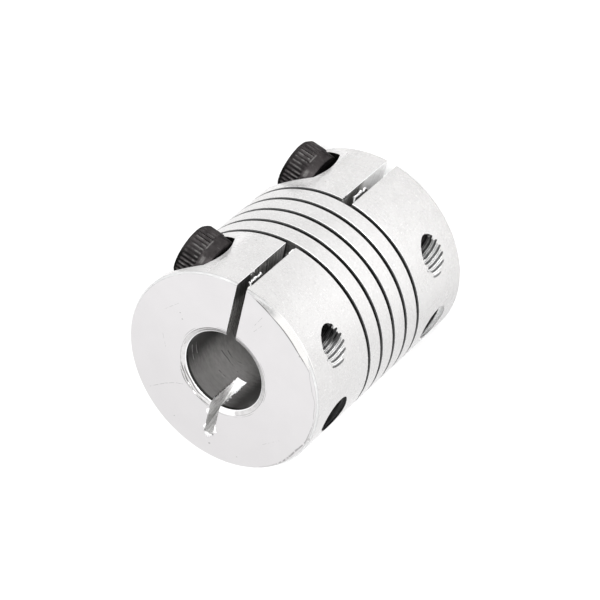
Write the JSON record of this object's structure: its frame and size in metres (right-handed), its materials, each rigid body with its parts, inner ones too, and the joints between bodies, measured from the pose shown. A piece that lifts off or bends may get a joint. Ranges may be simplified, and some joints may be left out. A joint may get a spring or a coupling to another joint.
{
  "type": "flexible shaft coupling",
  "caption": "One-piece helical-beam shaft coupling in aluminium, 20 mm across and 25 mm long, with a slit clamp hub and a black cap screw at each end of its 8 mm bore",
  "frame": {"origin": "On the shaft axis, in the plane of the lower end face that the coupling stands on", "axes": "+Z along the shaft axis, up to the upper end face; +X along both clamp screws, from their heads towards their tips; +Y towards the two clamp slits"},
  "size_m": [0.02, 0.02, 0.025],
  "materials": {
    "body_metal": "satin, turned and tumbled, with fine machining marks",
    "screw_metal": "black oxide, knurled head"
  },
  "bodies": {
    "root": {"coupling_body": "body_metal", "upper_clamp_screw": "screw_metal", "lower_clamp_screw": "screw_metal"}
  },
  "joints": []
}
